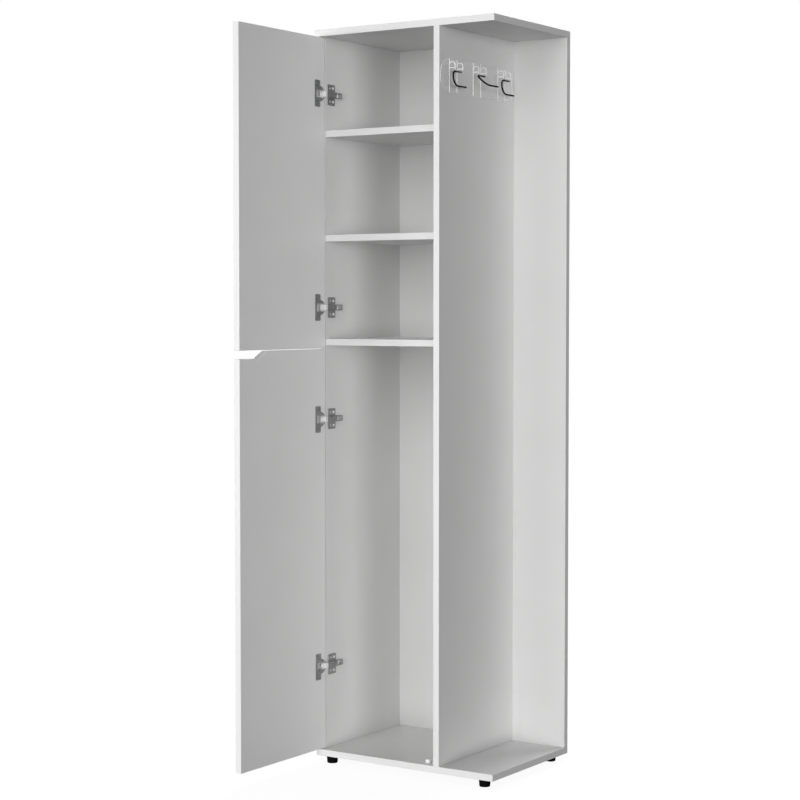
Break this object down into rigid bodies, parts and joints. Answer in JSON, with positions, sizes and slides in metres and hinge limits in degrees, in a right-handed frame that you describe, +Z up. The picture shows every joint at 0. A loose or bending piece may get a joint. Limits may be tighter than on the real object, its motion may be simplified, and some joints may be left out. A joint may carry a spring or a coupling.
{
  "type": "broom cupboard",
  "caption": "Tall narrow broom cupboard of white board with a shelved bay behind upper and lower doors and an open bay with a hook rail.",
  "frame": {"origin": "on the floor, at the centre of the box round the cupboard with its doors open", "axes": "+X to the right along the front, +Y from the front to the back, +Z up"},
  "size_m": [0.5, 0.6744, 1.774],
  "materials": {
    "white_board": "satin white melamine facing and edging",
    "door_board": "satin white melamine facing and edging",
    "black_plastic": "moulded, fine grain",
    "white_plastic": "moulded",
    "hinge_steel": "nickel-plated pressed steel",
    "clear_acrylic": "clear, polished edges",
    "clear_pad": "clear adhesive pad",
    "black_wire": "black coated wire",
    "dowel_wood": "beech, fluted",
    "cam_zinc": "die-cast zinc",
    "screw_steel": "zinc-plated"
  },
  "bodies": {
    "carcass": {"back_panel": "white_board", "back_screws": "screw_steel", "bottom_panel": "white_board", "bottom_screws": "screw_steel", "cam_bolts": "screw_steel", "cam_locks": "cam_zinc", "divider": "white_board", "door_stop": "white_plastic", "dowels": "dowel_wood", "foot_front_left": "black_plastic", "foot_front_right": "black_plastic", "foot_rear_left": "black_plastic", "foot_rear_right": "black_plastic", "foot_screws": "screw_steel", "hinge_arm_lower_door_bottom": "hinge_steel", "hinge_arm_lower_door_top": "hinge_steel", "hinge_arm_screws": "screw_steel", "hinge_arm_upper_door_bottom": "hinge_steel", "hinge_arm_upper_door_top": "hinge_steel", "hinge_plate_lower_door_bottom": "hinge_steel", "hinge_plate_lower_door_top": "hinge_steel", "hinge_plate_screws": "screw_steel", "hinge_plate_upper_door_bottom": "hinge_steel", "hinge_plate_upper_door_top": "hinge_steel", "hook_holder_front": "clear_acrylic", "hook_holder_middle": "clear_acrylic", "hook_holder_rear": "clear_acrylic", "left_side_panel": "white_board", "lower_shelf": "white_board", "middle_shelf": "white_board", "rail_pads": "clear_pad", "rail_plate": "clear_acrylic", "side_screws": "screw_steel", "top_panel": "white_board", "top_screws": "screw_steel", "upper_shelf": "white_board"},
    "upper_door": {"upper_door": "door_board", "upper_door_cup_screws": "screw_steel", "hinge_cup_upper_door_bottom": "hinge_steel", "hinge_cup_upper_door_top": "hinge_steel", "hinge_pin_upper_door_bottom": "hinge_steel", "hinge_pin_upper_door_top": "hinge_steel"},
    "lower_door": {"lower_door": "door_board", "lower_door_cup_screws": "screw_steel", "hinge_cup_lower_door_bottom": "hinge_steel", "hinge_cup_lower_door_top": "hinge_steel", "hinge_pin_lower_door_bottom": "hinge_steel", "hinge_pin_lower_door_top": "hinge_steel"},
    "hook_front": {"hook_front": "black_wire"},
    "hook_middle": {"hook_middle": "black_wire"},
    "hook_rear": {"hook_rear": "black_wire"}
  },
  "joints": [
    {"name": "upper_door_swing", "type": "hinge", "parent": "carcass", "child": "upper_door", "pos_m": [-0.241, -0.01075, 1.36525], "axis": [0, 0, 1], "range_deg": [-5, 90]},
    {"name": "lower_door_swing", "type": "hinge", "parent": "carcass", "child": "lower_door", "pos_m": [-0.241, -0.01075, 0.5385], "axis": [0, 0, 1], "range_deg": [-5, 90]},
    {"name": "front_hook_swing", "type": "hinge", "parent": "carcass", "child": "hook_front", "pos_m": [0.122, 0.03275, 1.6555], "axis": [0, -1, 0], "range_deg": [-15, 100]},
    {"name": "middle_hook_swing", "type": "hinge", "parent": "carcass", "child": "hook_middle", "pos_m": [0.122, 0.1385, 1.6555], "axis": [0, -1, 0], "range_deg": [-60, 55]},
    {"name": "rear_hook_swing", "type": "hinge", "parent": "carcass", "child": "hook_rear", "pos_m": [0.122, 0.25225, 1.6555], "axis": [0, -1, 0], "range_deg": [-15, 100]}
  ]
}
